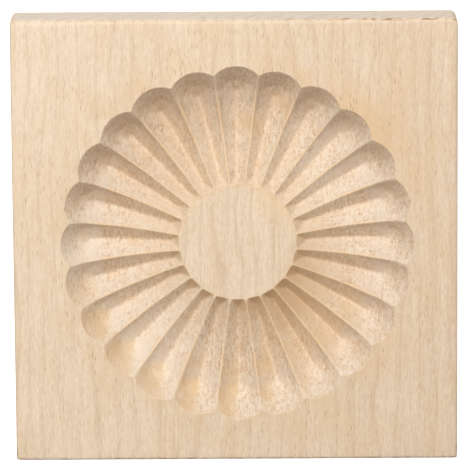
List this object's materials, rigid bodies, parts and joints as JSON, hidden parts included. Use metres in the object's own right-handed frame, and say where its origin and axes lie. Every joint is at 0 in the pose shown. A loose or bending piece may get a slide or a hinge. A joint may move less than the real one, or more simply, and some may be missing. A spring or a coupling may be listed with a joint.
{
  "type": "wooden cookie mould",
  "caption": "Square wooden cookie mould with a fluted round rosette carved deep into its face, for pressing shortbread or biscuit dough.",
  "frame": {"origin": "centre of the square base, on the surface that the block lies on", "axes": "+Z out of the carved face, +Y along the grain and through the tip of a flute, +X across the grain"},
  "size_m": [0.15, 0.15, 0.022],
  "materials": {
    "beech": "raw planed beech, unoiled, with small dark ray flecks along Y and hand-carved flutes"
  },
  "bodies": {
    "root": {"mould_block": "beech"}
  },
  "joints": []
}
